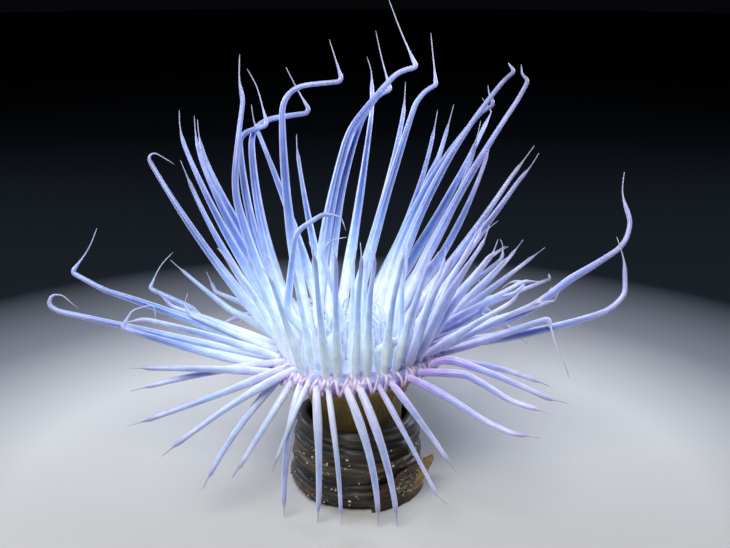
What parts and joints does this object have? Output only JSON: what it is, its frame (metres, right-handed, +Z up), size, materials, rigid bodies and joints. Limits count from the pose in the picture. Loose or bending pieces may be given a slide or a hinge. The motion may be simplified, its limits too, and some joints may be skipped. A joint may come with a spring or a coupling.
{
  "type": "tube-dwelling anemone",
  "caption": "Still life-size tube anemone: slender whip-ended tentacles fan from a round oral disc on a flared column that stands in its leathery tube, the rest of the tube laid behind.",
  "frame": {"origin": "on the floor at the axis of the upright tube, the middle of the heel's flat underside", "axes": "+Z up; the front, where the short tentacles hang before the tube, faces -Y; the buried length of tube lies along +Y; +X is to the right seen from the front and is the crown's widest way"},
  "size_m": [0.2801, 0.2406, 0.225],
  "materials": {
    "tentacles": "moist, satin, milky translucent flesh, pale blue with a violet root",
    "disc": "moist, satin, violet flesh",
    "column": "moist, satin, olive brown flesh",
    "tube": "matt felt of threads and fine sand, ringed",
    "flap": "matt, thin and amber, a torn outer layer of the tube"
  },
  "bodies": {
    "root": {"tube_upright": "tube", "tube_run": "tube", "tube_tail": "tube", "tube_flap": "flap", "column_trunk": "column", "column_foot": "column", "column_neck": "column", "oral_disc": "disc", "labials_1": "disc", "labials_2": "disc", "labials_3": "disc", "labials_4": "disc", "tentacle_000_end": "tentacles", "crown_01": "tentacles", "crown_02": "tentacles", "tentacle_016_end": "tentacles", "crown_03": "tentacles", "tentacle_019_end": "tentacles", "tentacle_020_end": "tentacles", "tentacle_022_end": "tentacles", "tentacle_023_end": "tentacles", "crown_04": "tentacles", "tentacle_025_end": "tentacles", "tentacle_026_end": "tentacles", "tentacle_028_end": "tentacles", "tentacle_029_end": "tentacles", "crown_05": "tentacles", "tentacle_031_end": "tentacles", "tentacle_034_end": "tentacles", "tentacle_035_end": "tentacles", "crown_06": "tentacles", "tentacle_037_end": "tentacles", "tentacle_038_end": "tentacles", "tentacle_040_end": "tentacles", "tentacle_041_end": "tentacles", "crown_07": "tentacles", "tentacle_043_end": "tentacles", "tentacle_044_end": "tentacles", "tentacle_046_end": "tentacles", "crown_08": "tentacles", "tentacle_049_end": "tentacles", "tentacle_051_end": "tentacles", "tentacle_052_end": "tentacles", "crown_09": "tentacles", "tentacle_054_end": "tentacles", "crown_10": "tentacles", "crown_11": "tentacles", "crown_12": "tentacles", "crown_13": "tentacles", "crown_14": "tentacles", "crown_15": "tentacles", "crown_16": "tentacles", "crown_17": "tentacles", "crown_18": "tentacles"}
  },
  "joints": []
}
